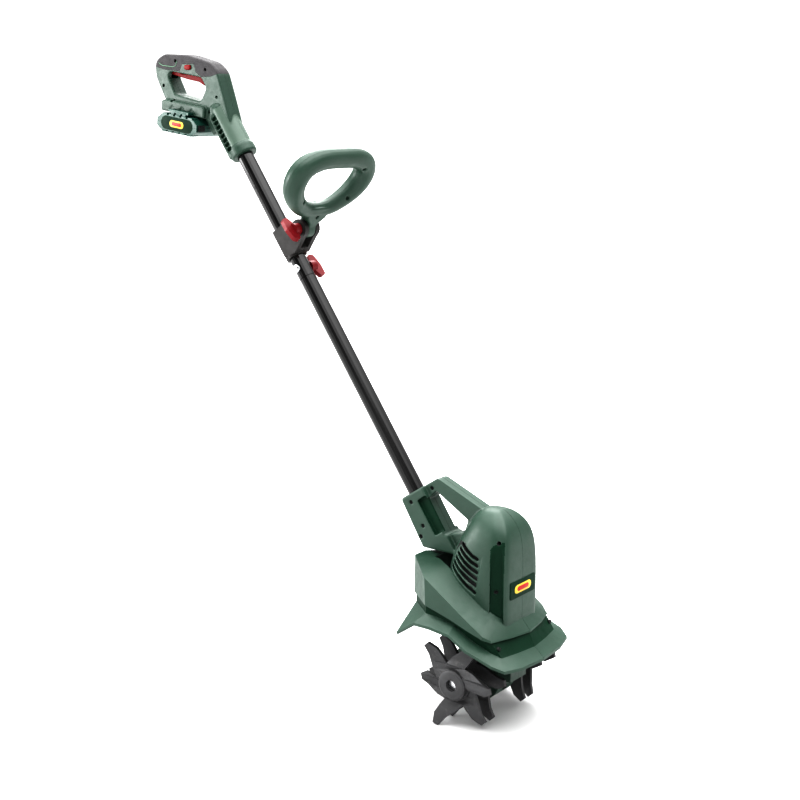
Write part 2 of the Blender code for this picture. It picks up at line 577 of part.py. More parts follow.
def build_handle():
    body = rounded(
        [(556, 926, 0), (571, 972, 24), (590, 1021, 16), (609, 1037, 16), (666, 1052, 90), (738, 1055, 18),
         (765, 1040, 16), (761, 1010, 20), (737, 967, 12), (640, 953, 4), (606, 905, 0)], 6, 4,
    )
    opening = rounded([(735, 1021), (646, 1007), (633, 988), (649, 963), (712, 977)], 8, 4)
    shape = plate("handle_body", body, 14.5, datum)
    boolean(shape, plate("handle_opening", opening, 60, datum))
    neck = [(0.01, 118), (17, 118), (23.5, 104), (23.5, 26.3), (25.2, 25.3), (25.2, 2), (23.5, 0), (0.01, 0)]
    boolean(shape, turned("neck", neck, (0, 0, 1020), "Z", pole, None, 36), "UNION")
    boolean(shape, block("foot", (49, 115.4, 21.6), (0, 2.3, 12.3), pack), "UNION")
    core = plate("grip_core", [(572, 930), (593, 1018), (611, 1033), (667, 1048.5), (737, 1051.5), (755, 1043),
                               (761, 1034), (761, 930)], 11.5, datum)
    grip_edge = [(753, 1029), (734, 1024), (686, 1021), (680, 1034), (650, 1034), (646, 1020), (632, 1011), (610, 1014)]
    grip_zone = plate("grip_zone", [(580, 1021), (600, 1045), (666, 1062), (740, 1064), (775, 1050), (775, 1033)]
                      + [(y, z - 0.3) for y, z in grip_edge], 40, datum)
    boolean(grip_zone, core)
    boolean(shape, grip_zone)
    cavities = [
        rod("neck_bore", TUBE_R + GAP, 110, (0, 0, 1060), "Z", pole, sides=32),
        plate("trigger_pocket", [(741, 1012), (741, 1036), (634, 1036), (634, 996)], 8.4, datum),
        block("switch_space", (20, 26, 44), (0, 606, 1000), datum),
        rod("wire_way", 7, 60, (0, -6, 1125), "Z", pole, sides=14),
        block("terminal_space", (30, 40, 16), (0, 10, 21), pack),
        block("rail_head_slot", (60, 54, 5.4), (-8, 0, 5.9), pack),
        block("rail_neck_slot", (59.6, 41, 8.4), (-8, 0, 0.2), pack),
    ]
    holes = [
        plate("lock_hole", rounded([(-8.4, -4.9), (8.4, -4.9), (8.4, 4.9), (-8.4, 4.9)], 4.4, 5), 41, datum,
              None, (0.2, 665, 1028.5)),
        rod("trigger_pin_hole", 2.3, 24, (0, 729, 1027), "X", datum, sides=12),
    ]
    for i, (y, z) in enumerate(HANDLE_SCREWS):
        holes.append(rod(f"handle_screw_hole_{i}", 3.6, 40, (-27, y, z), "X", datum, sides=12))
        holes.append(rod(f"handle_boss_hole_{i}", 1.9, 32, (0, y, z), "X", datum, sides=12))
    for i in range(8):
        for sign in (-1, 1):
            holes.append(block(f"neck_slot_{i}_{sign}", (8, 14, 3.6), (sign * 25, 6, 1044 + 8.5 * i), pole))
    split("handle", shape, GREEN, cavities, holes)
    grip = plate("grip_shell", rounded([(*p, 12) for p in GRIP_TOP] + [(y, z, 0) for y, z in grip_edge], 2, 3), 17, datum)
    soft_grip = solid("soft_grip", grip, GREY)
    inner = plate("grip_inner", [(560, 930), (592.6, 1018.4), (610.8, 1033.4), (667, 1048.9), (737.1, 1051.9),
                                 (755.3, 1043.3), (761.5, 1034), (761.5, 930)], 11.8, datum)
    for cut in (inner, *holes):
        if cut.name.startswith(("grip_inner", "handle_screw_hole_0", "handle_screw_hole_1")):
            boolean(soft_grip, cut)
    build_controls()
    for i, (y, z) in enumerate(HANDLE_SCREWS):
        screw(f"handle_screw_{i + 1}", (-7.3, y, z), 14, datum)


def build_controls():
    trigger = rounded([(736, 1023), (720, 1013.5), (684, 1004.5), (656, 999.5), (643, 993.5), (640, 996), (647, 1006),
                       (649, 1017), (700, 1019), (722, 1031), (733, 1032)], 2, 3)
    lever = plate("trigger", [(y - 729, z - 1027) for y, z in trigger], 8, datum, RED, (0, 729, 1027))
    boolean(lever, rod("trigger_eye", 2.3, 30, (0, 729, 1027), "X", datum, sides=12))
    rod("trigger_pin", 2, 22, (0, 729, 1027), "X", datum, STEEL, 12)
    button = rounded([(-8, -4.5), (8, -4.5), (8, 4.5), (-8, 4.5)], 4.2, 5)
    plate("lock_off_button", button, 18.2, datum, RED, (-1.5, 665, 1028.5))
    block("trigger_switch", (16, 22, 32), (0, 606, 1000), datum, BLACK_PLASTIC)
    block("terminal_block", (28, 38, 14), (0, 10, 21), pack, BLACK_PLASTIC)


def build_pack():
    half = PACK_LENGTH / 2
    octagon = [(-half, -11), (-half + 15, 0), (half - 15, 0), (half, -11), (half, -24), (half - 15, -PACK_HEIGHT),
               (-half + 15, -PACK_HEIGHT), (-half, -24)]
    case = plate("pack_case", octagon, PACK_DEPTH / 2, pack)
    boolean(case, block("pack_rail_neck", (56, 40, 9), (-8, 0, 1.5), pack), "UNION")
    boolean(case, block("pack_rail_head", (55.6, 53.2, 4.6), (-8, 0, 5.9), pack), "UNION")
    bay = block("cell_bay", (CELL_LENGTH + 2, 94.6, 19.4), (2, 0, -17), pack)
    latch_space = block("latch_space", (16.6, 12, 11.6), (-26, -half, -17), pack)
    for name, z in (("top", 183), ("bottom", -217)):
        shell = solid("battery_case_" + name, case, DARK_GREEN)
        boolean(shell, block("pack_space_" + name, (300, 300, 400 - GAP), (0, 0, z), pack), "INTERSECT")
        boolean(shell, bay)
        boolean(shell, latch_space)
    for i in range(5):
        rod(f"battery_cell_{i + 1}", CELL_R, CELL_LENGTH, (2, (i - 2) * 18.8, -17), "X", pack, CELL_WRAP, 16)
    block("battery_release_button", (16, 5, 11), (-26, -half + 0.3, -17), pack, BLACK_PLASTIC)


def build_cable():
    line = [(0, *pole_point(-7, s)) for s in range(1120, 260, -40)]
    end = [(0, *pole_point(-4, 252)), (0, 85.2, 227), (0, 80, 220)]
    end += [(0, y, 219) for y in (68, 50, 30, 8)]
    swept("motor_cable", line + end, [2.6] * len(line + end), datum, BLACK_PLASTIC, 2)


def build_badge():
    outline = rounded([(-34, -14), (34, -14), (34, 14), (-34, 14)], 3, 3)
    plate("badge_plate", outline, 0.8, datum, LABEL, (0, -85.2, 172), "XZ")


pack = frame("pack_top", datum, 675, 941, -HANDLE_TILT)
build_housing()
build_guard()
build_gearcase()
build_drive()
build_rotor()
build_tubes()
build_clamp()
build_loop()
build_handle()
build_pack()
build_cable()
build_badge()
bpy.context.view_layer.update()
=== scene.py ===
# Looks of the cordless tiller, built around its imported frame.
import math

import bmesh
import bpy
from mathutils import Matrix, Vector

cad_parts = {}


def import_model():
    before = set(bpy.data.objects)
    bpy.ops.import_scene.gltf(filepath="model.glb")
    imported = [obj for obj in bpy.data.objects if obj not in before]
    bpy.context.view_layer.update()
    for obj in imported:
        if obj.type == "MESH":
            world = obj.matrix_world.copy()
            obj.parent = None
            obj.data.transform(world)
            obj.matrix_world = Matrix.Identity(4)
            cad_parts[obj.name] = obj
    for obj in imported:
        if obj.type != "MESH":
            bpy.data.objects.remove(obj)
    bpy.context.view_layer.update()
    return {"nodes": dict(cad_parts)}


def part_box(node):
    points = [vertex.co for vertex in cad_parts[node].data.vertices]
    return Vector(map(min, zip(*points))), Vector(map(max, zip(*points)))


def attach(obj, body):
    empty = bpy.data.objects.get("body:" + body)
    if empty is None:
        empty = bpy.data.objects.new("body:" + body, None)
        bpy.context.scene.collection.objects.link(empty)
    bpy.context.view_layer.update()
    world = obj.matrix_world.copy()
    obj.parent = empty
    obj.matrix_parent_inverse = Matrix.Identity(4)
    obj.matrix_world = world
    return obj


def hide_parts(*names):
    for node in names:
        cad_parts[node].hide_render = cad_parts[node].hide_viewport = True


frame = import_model()
mm = 0.001

# The machine datum lies 10 mm behind and 7 mm below the tine axle; plans and outlines are in mm from it.
axleLow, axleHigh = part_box("tine_axle")
axleCentre = (axleLow + axleHigh) / 2
datum = axleCentre - Vector((0, -10, 7)) * mm
poleLean = math.radians(35)
poleFoot = Vector((0, -47.4, 33.2))


def world(x, y, z):
    return datum + Vector((x, y, z)) * mm


def turnedFrame(y, z, leanBack):
    # a place on the machine with its Z tipped backwards
    return Matrix.Translation(world(0, y, z)) @ Matrix.Rotation(-leanBack, 4, "X") @ Matrix.Scale(mm, 4)


machine = turnedFrame(0, 0, 0)
pole = turnedFrame(poleFoot.y, poleFoot.z, poleLean)
packSeat = turnedFrame(675, 941, math.radians(-8))
loopPivot = pole @ Vector((0, -48, 834))
loopPlane = Matrix.Translation(loopPivot) @ Matrix.Rotation(math.radians(33), 4, "X") @ Matrix.Scale(mm, 4)

# Finishes


def addNode(tree, kind, **settings):
    node = tree.nodes.new(kind)
    for key, value in settings.items():
        if hasattr(node, key):
            setattr(node, key, value)
        else:
            node.inputs[key.replace("_", " ")].default_value = value
    return node


def makeFinish(name, look):
    # colour drift, a fine moulded grain, uneven gloss, and an optional coat; everything in Object coordinates
    material = bpy.data.materials.new(name)
    material.use_nodes = True
    tree = material.node_tree
    shader = tree.nodes["Principled BSDF"]
    shader.inputs["Metallic"].default_value = look.get("metal", 0.0)
    shader.inputs["Coat Weight"].default_value = look.get("coat", 0.0)
    shader.inputs["Coat Roughness"].default_value = look.get("coatRough", 0.1)
    shader.inputs["Specular IOR Level"].default_value = look.get("specular", 0.5)
    shader.inputs["Anisotropic"].default_value = look.get("brushed", 0.0)
    coords = tree.nodes.new("ShaderNodeTexCoord")
    mapping = tree.nodes.new("ShaderNodeMapping")
    mapping.inputs["Scale"].default_value = look.get("stretch", (1, 1, 1))
    tree.links.new(coords.outputs["Object"], mapping.inputs["Vector"])

    def noise(scale, detail, rough=0.55):
        node = addNode(tree, "ShaderNodeTexNoise", Scale=scale, Detail=detail, Roughness=rough)
        tree.links.new(mapping.outputs["Vector"], node.inputs["Vector"])
        return node.outputs["Fac"]

    def spread(source, low, high, start=0.3, end=0.7):
        node = tree.nodes.new("ShaderNodeMapRange")
        for key, value in (("From Min", start), ("From Max", end), ("To Min", low), ("To Max", high)):
            node.inputs[key].default_value = value
        tree.links.new(source, node.inputs["Value"])
        return node.outputs["Result"]

    drift = noise(14, 5)
    mix = tree.nodes.new("ShaderNodeMix")
    mix.data_type = "RGBA"
    mix.inputs[6].default_value = (*look["dark"], 1)
    mix.inputs[7].default_value = (*look["light"], 1)
    tree.links.new(spread(drift, 0, 1), mix.inputs[0])
    colour = mix.outputs[2]
    grain = noise(look.get("grainScale", 1400), 3, 0.6)
    if "wear" in look:  # bare or dusty patches where a second noise peaks
        worn = tree.nodes.new("ShaderNodeMix")
        worn.data_type = "RGBA"
        worn.inputs[7].default_value = (*look["wear"], 1)
        tree.links.new(colour, worn.inputs[6])
        tree.links.new(spread(noise(look.get("wearScale", 60), 8, 0.7), 0, look.get("wearMost", 0.6), 0.56,
                              0.72),
                       worn.inputs[0])
        colour = worn.outputs[2]
    tree.links.new(colour, shader.inputs["Base Color"])
    gloss = noise(90, 4)
    tree.links.new(spread(gloss, look["rough"][0], look["rough"][1]), shader.inputs["Roughness"])
    bump = addNode(tree, "ShaderNodeBump", Strength=look.get("bump", 0.15),
                   Distance=look.get("depth", 0.0003))
    tree.links.new(grain, bump.inputs["Height"])
    tree.links.new(bump.outputs["Normal"], shader.inputs["Normal"])
    return material


finishes = {
    "shellGreen": dict(dark=(0.018, 0.046, 0.03), light=(0.025, 0.058, 0.04), rough=(0.36, 0.47),
                       bump=0.22, specular=0.5),
    # painted shade: a deep dark green standing in for the shade in recesses, pockets, the guard undercut and
    # vent panels; also the colour of the badge plate face and the battery label field
    "paintedShadeAndLabelGreen": dict(specular=0.15, dark=(0.002, 0.022, 0.01), light=(0.004, 0.03, 0.015),
                        rough=(0.45, 0.6), bump=0.2),
    "packGreen": dict(dark=(0.006, 0.048, 0.034), light=(0.012, 0.066, 0.048), rough=(0.3, 0.42),
                      bump=0.15),
    "gripRubber": dict(dark=(0.04, 0.038, 0.04), light=(0.06, 0.057, 0.06), rough=(0.62, 0.78), bump=0.5,
                       grainScale=900, depth=0.0005),
    "triggerRed": dict(specular=0.2, dark=(0.16, 0.002, 0.003), light=(0.2, 0.003, 0.004),
                       rough=(0.38, 0.48), bump=0.1),
    "knobRed": dict(specular=0.3, dark=(0.15, 0.006, 0.01), light=(0.2, 0.01, 0.015), rough=(0.3, 0.44),
                    bump=0.15),
    "tubeBlack": dict(dark=(0.003, 0.003, 0.003), light=(0.006, 0.006, 0.006), rough=(0.12, 0.18),
                      bump=0.08, grainScale=420, coat=0.25, coatRough=0.07, specular=0.4),
    "partBlack": dict(specular=0.35, dark=(0.013, 0.012, 0.012), light=(0.024, 0.022, 0.022),
                      rough=(0.4, 0.55), bump=0.25),
    "clampGrey": dict(specular=0.35, dark=(0.016, 0.015, 0.014), light=(0.028, 0.026, 0.025),
                      rough=(0.42, 0.56), bump=0.25),
    "tineGrey": dict(specular=0.4, dark=(0.042, 0.042, 0.043), light=(0.075, 0.075, 0.077),
                     rough=(0.42, 0.62), metal=0.25, grainScale=260, bump=0.55, depth=0.0006,
                     wear=(0.2, 0.195, 0.185), wearScale=90, wearMost=0.35),
    "zinc": dict(dark=(0.5, 0.51, 0.52), light=(0.66, 0.67, 0.68), rough=(0.2, 0.34), metal=1.0,
                 bump=0.15, brushed=0.3, stretch=(1, 1, 6), grainScale=500),
    "bronze": dict(dark=(0.48, 0.3, 0.1), light=(0.62, 0.42, 0.16), rough=(0.25, 0.4), metal=1.0,
                   bump=0.15),
    "cellBlue": dict(dark=(0.03, 0.14, 0.34), light=(0.05, 0.2, 0.45), rough=(0.25, 0.35), bump=0.05),
    # painted shade: near-black for the inside of slots and screw wells and for the screws sitting in them
    "paintedHoleShade": dict(dark=(0.002, 0.004, 0.003), light=(0.004, 0.006, 0.005), rough=(0.6, 0.8), bump=0.1),
    "badgeGold": dict(specular=0.3, dark=(0.45, 0.34, 0.03), light=(0.58, 0.46, 0.08), rough=(0.25, 0.4),
                      bump=0.03),
    "badgeRed": dict(specular=0.3, dark=(0.3, 0.006, 0.004), light=(0.38, 0.01, 0.007), rough=(0.25, 0.4),
                     bump=0.03),
    "inlayGreen": dict(dark=(0.1, 0.2, 0.13), light=(0.14, 0.26, 0.17), rough=(0.3, 0.45), bump=0.1),
    # painted light: a lighter green standing in for the light falling on the front of the handle sleeve
    "paintedLightSleeveGreen": dict(dark=(0.068, 0.105, 0.082), light=(0.088, 0.13, 0.103), rough=(0.34, 0.46),
                        bump=0.2),
}
finish = {name: makeFinish(name, look) for name, look in finishes.items()}
print("finishes made:", len(finish))

# Making helpers


def rounded(points, radius, steps=5):
    # the outline with each corner turned into an arc; a third number is that corner's own radius
    out = []
    for i, point in enumerate(points):
        here = Vector(point[:2])
        size = point[2] if len(point) > 2 else radius
        before = Vector(points[i - 1][:2]) - here
        after = Vector(points[(i + 1) % len(points)][:2]) - here
        half = before.angle(after) / 2
        if size <= 0 or half > math.radians(88):
            out.append(here)
            continue
        reach = min(size / math.tan(half), before.length * 0.49, after.length * 0.49)
        middle = here + (before.normalized() + after.normalized()).normalized() * (reach / math.cos(half))
        start = here + before.normalized() * reach - middle
        end = here + after.normalized() * reach - middle
        turn = start.angle_signed(end)
        for step in range(steps + 1):
            out.append(middle + Matrix.Rotation(-turn * step / steps, 2) @ start)
    return out


planes = {
    "side": Matrix(((0, 0, 1, 0), (1, 0, 0, 0), (0, 1, 0, 0), (0, 0, 0, 1))),
    "front": Matrix(((1, 0, 0, 0), (0, 0, -1, 0), (0, 1, 0, 0), (0, 0, 0, 1))),
}
axes = {
    "X": Matrix.Rotation(math.pi / 2, 4, "Y"),
    "Y": Matrix.Rotation(-math.pi / 2, 4, "X"),
    "Z": Matrix.Identity(4),
}


def holdMesh(name, bm, place):
    # a hidden working object with its mesh already in place
    bmesh.ops.recalc_face_normals(bm, faces=bm.faces)
    bmesh.ops.transform(bm, matrix=place, verts=bm.verts)
    mesh = bpy.data.meshes.new(name)
    bm.to_mesh(mesh)
    bm.free()
    obj = bpy.data.objects.new(name, mesh)
    bpy.context.scene.collection.objects.link(obj)
    return obj


def slab(name, outline, half, place, plane="side", shift=0.0, edge=0.0):
    # a flat outline with a thickness, its rims bevelled by edge
    bm = bmesh.new()
    verts = [bm.verts.new((p[0], p[1], shift - half)) for p in outline]
    face = bm.faces.new(verts)
    top = bmesh.ops.extrude_face_region(bm, geom=[face])["geom"]
    lifted = [v for v in top if isinstance(v, bmesh.types.BMVert)]
    bmesh.ops.translate(bm, vec=(0, 0, 2 * half), verts=lifted)
    if edge:
        rims = [e for e in bm.edges if abs(e.verts[0].co.z - e.verts[1].co.z) < 1e-6]
        bmesh.ops.bevel(bm, geom=rims, offset=edge, segments=3, affect="EDGES", profile=0.5, material=-1,
                        clamp_overlap=True)
    bmesh.ops.transform(bm, matrix=planes[plane], verts=bm.verts)
    return holdMesh(name, bm, place)


def bar(name, radius, length, at, axis, place, sides=32):
    bm = bmesh.new()
    bmesh.ops.create_cone(bm, cap_ends=True, segments=sides, radius1=radius, radius2=radius, depth=length)
    bmesh.ops.transform(bm, matrix=Matrix.Translation(at) @ axes[axis], verts=bm.verts)
    return holdMesh(name, bm, place)


def brick(name, size, at, place):
    bm = bmesh.new()
    bmesh.ops.create_cube(bm, size=1)
    bmesh.ops.scale(bm, vec=size, verts=bm.verts)
    bmesh.ops.translate(bm, vec=at, verts=bm.verts)
    return holdMesh(name, bm, place)


def lathe(name, profile, at, axis, place, steps=48):
    # profile of (radius, height) spun once round its axis
    bm = bmesh.new()
    verts = [bm.verts.new((r, 0, h)) for r, h in profile]
    edges = [bm.edges.new((a, b)) for a, b in zip(verts, verts[1:])]
    bmesh.ops.spin(bm, geom=verts + edges, cent=(0, 0, 0), axis=(0, 0, 1), angle=2 * math.pi, steps=steps,
                   use_merge=True)
    bmesh.ops.remove_doubles(bm, verts=bm.verts, dist=1e-4)
    bmesh.ops.transform(bm, matrix=Matrix.Translation(at) @ axes[axis], verts=bm.verts)
    return holdMesh(name, bm, place)


def tubeAlong(name, points, radii, place, sides=4, closed=False):
    # a round bar of changing radius along points
    curve = bpy.data.curves.new(name, "CURVE")
    curve.dimensions = "3D"
    curve.bevel_depth = 1
    curve.bevel_resolution = sides
    curve.use_fill_caps = not closed
    spline = curve.splines.new("POLY")
    spline.points.add(len(points) - 1)
    for target, point, radius in zip(spline.points, points, radii):
        target.co = (*point, 1)
        target.radius = radius
    spline.use_cyclic_u = closed
    line = bpy.data.objects.new(name + "Line", curve)
    bpy.context.scene.collection.objects.link(line)
    bpy.context.view_layer.update()
    mesh = bpy.data.meshes.new_from_object(line.evaluated_get(bpy.context.evaluated_depsgraph_get()))
    bpy.data.objects.remove(line)
    bm = bmesh.new()
    bm.from_mesh(mesh)
    bmesh.ops.remove_doubles(bm, verts=bm.verts, dist=1e-4)
    return holdMesh(name, bm, place)


def combine(target, others, operation="UNION"):
    for other in others:
        modifier = target.modifiers.new(operation, "BOOLEAN")
        modifier.object = other
        modifier.operation = operation
        modifier.solver = "EXACT"
    return bakeModifiers(target, others)


def bakeModifiers(obj, spent=()):
    bpy.context.view_layer.update()
    mesh = bpy.data.meshes.new_from_object(obj.evaluated_get(bpy.context.evaluated_depsgraph_get()))
    obj.modifiers.clear()
    obj.data = mesh
    for other in spent:
        bpy.data.objects.remove(other)
    return obj


def soften(obj, voxel, passes):
    # melts the joins together the way a moulded part flows, then relaxes the surface
    remesh = obj.modifiers.new("Remesh", "REMESH")
    remesh.mode = "VOXEL"
    remesh.voxel_size = voxel * mm
    smooth = obj.modifiers.new("Smooth", "SMOOTH")
    smooth.factor = 0.5
    smooth.iterations = passes
    return bakeModifiers(obj)


def cutAway(obj, point, normal, name):
    # a copy of obj that keeps only the side behind the plane, closed where it is cut
    bm = bmesh.new()
    bm.from_mesh(obj.data)
    bmesh.ops.bisect_plane(bm, geom=bm.verts[:] + bm.edges[:] + bm.faces[:], plane_co=point,
                           plane_no=normal, clear_outer=True, dist=1e-7)
    rim = [e for e in bm.edges if e.is_boundary]
    bmesh.ops.triangle_fill(bm, use_beauty=True, edges=rim)
    bmesh.ops.recalc_face_normals(bm, faces=bm.faces)
    mesh = bpy.data.meshes.new(name)
    bm.to_mesh(mesh)
    bm.free()
    copy = bpy.data.objects.new(name, mesh)
    bpy.context.scene.collection.objects.link(copy)
    return copy


def dress(obj, name, material, body, nodes=(), smooth=38, edge=0.0, extra=()):
    # names a finished piece, gives it its finish and hangs it on its body
    obj.name = name
    obj.data.name = name
    painted = [face.material_index for face in obj.data.polygons]
    obj.data.materials.clear()
    for entry in (material, *extra):
        obj.data.materials.append(finish[entry])
    if extra:
        obj.data.polygons.foreach_set("material_index", painted)
    obj.data.shade_smooth()
    obj.data.set_sharp_from_angle(angle=math.radians(smooth))
    if edge:
        bevel = obj.modifiers.new("Bevel", "BEVEL")
        bevel.width = edge * mm
        bevel.segments = 2
        bevel.limit_method = "ANGLE"
        bevel.angle_limit = math.radians(32)
        bevel.use_clamp_overlap = True
        bevel.harden_normals = True
    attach(obj, body)
    if nodes:
        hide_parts(*nodes)
    return obj


def nodeCopy(node):
    # a merged working copy of a CAD node, its flat faces joined up
    bm = bmesh.new()
    bm.from_mesh(frame["nodes"][node].data)
    bmesh.ops.remove_doubles(bm, verts=bm.verts, dist=2e-6)
    bmesh.ops.dissolve_limit(bm, angle_limit=math.radians(1.5), use_dissolve_boundaries=False, verts=bm.verts,
                             edges=bm.edges, delimit=set())
    mesh = bpy.data.meshes.new(node)
    bm.to_mesh(mesh)
    bm.free()
    obj = bpy.data.objects.new(node, mesh)
    bpy.context.scene.collection.objects.link(obj)
    return obj


def refine(node, name, material, body, edge):
    return dress(nodeCopy(node), name, material, body, [node], edge=edge)

# Carried-over CAD pieces

nodeFinish = {
    "zinc": ["motor_can", "worm_shaft", "tine_axle", "axle_bearing_right", "axle_bearing_left",
             "tine_pin_right",
             "tine_pin_left", "joint_bolt", "clamp_bolt", "trigger_pin"],
    "bronze": ["worm_wheel"],
    "partBlack": ["cooling_fan", "terminal_block", "trigger_switch", "motor_cable"],
    "cellBlue": [f"battery_cell_{i}" for i in range(1, 6)],
    "tubeBlack": ["lower_tube", "upper_tube"],
}
for look, names in nodeFinish.items():
    for nodeName in names:
        mesh = frame["nodes"][nodeName].data
        mesh.materials.clear()
        mesh.materials.append(finish[look])
screwNodes = [n for n in frame["nodes"] if "_screw_" in n]
# the screws take the painted hole shade of the wells they sit in
for nodeName in screwNodes:
    mesh = frame["nodes"][nodeName].data
    mesh.materials.clear()
    mesh.materials.append(finish["paintedHoleShade"])
print("CAD nodes finished")

# Motor housing


def paint(obj, index, inside):
    # gives the faces whose centre passes the test another of the piece's finishes
    for face in obj.data.polygons:
        if inside(face.center):
            face.material_index = index


def loft(name, sections, plan, place):
    # rings drawn from one plan of (x share, y share), scaled to each section's front, rear and half width
    bm = bmesh.new()
    full = plan + [(-x, y) for x, y in plan[-2:0:-1]]

    def spots(z, front, rear, half):
        middle, depth = (front + rear) / 2, (rear - front) / 2
        return [Vector((x * half, middle + y * depth, z)) for x, y in full]

    ring = [bm.verts.new(co) for co in spots(*sections[0])]
    edges = [bm.edges.new((a, b)) for a, b in zip(ring, ring[1:] + ring[:1])]
    bm.faces.new(ring)
    for section in sections[1:]:
        grown = bmesh.ops.extrude_edge_only(bm, edges=edges)["geom"]
        edges = [e for e in grown if isinstance(e, bmesh.types.BMEdge)]
        below = ring
        newVerts = {v for v in grown if isinstance(v, bmesh.types.BMVert)}
        ring = []
        for v in below:
            ring.append(next(e.other_vert(v) for e in v.link_edges if e.other_vert(v) in newVerts))
        for v, co in zip(ring, spots(*section)):
            v.co = co
    bm.faces.new(ring)
    obj = holdMesh(name, bm, place)
    smooth = obj.modifiers.new("Subdivision", "SUBSURF")
    smooth.levels = smooth.render_levels = 2
    return bakeModifiers(obj)


housingSet = {
    "plan": [(0, -1), (0.42, -1), (0.74, -0.99), (0.84, -0.95), (0.965, -0.60), (1.0, -0.48), (1.0, -0.1),
             (0.97, 0.3), (0.82, 0.66), (0.46, 0.95), (0, 1)],
    "sections": [(92, -85, 68, 57), (96, -85, 68, 57), (130, -85, 64, 58), (165, -85, 58, 58.5),
                 (200, -85, 50, 57.5),
                 (230, -84.5, 38, 54.5), (254, -82, 25, 50), (273, -75, 13, 43.5), (287, -64, 4, 34),
                 (296, -52, -6, 23), (300, -43, -17, 11)],
    "voxel": 1.3,
    "column": [(108, 207), (157, 286, 5), (84, 334, 9), (-14, 294), (-36, 226), (20, 207)],
    "window": [(101, 296), (87, 311), (19, 271), (27, 246), (62, 238)],
    "slots": 6,
    "slotHalf": 3.1,
    "panel": [(15, 251), (25, 230), (18, 206), (-8, 178), (-27, 167), (-41, 232), (-8, 248)],
    "recess": (74, 262), "recessAt": (54, -68.5), "recessTurn": 64,
    "pocket": [(-31, 238), (-10, 238), (-10, 306), (-31, 306)],
    "screws": [(-66, 255), (-64, 171)],
}


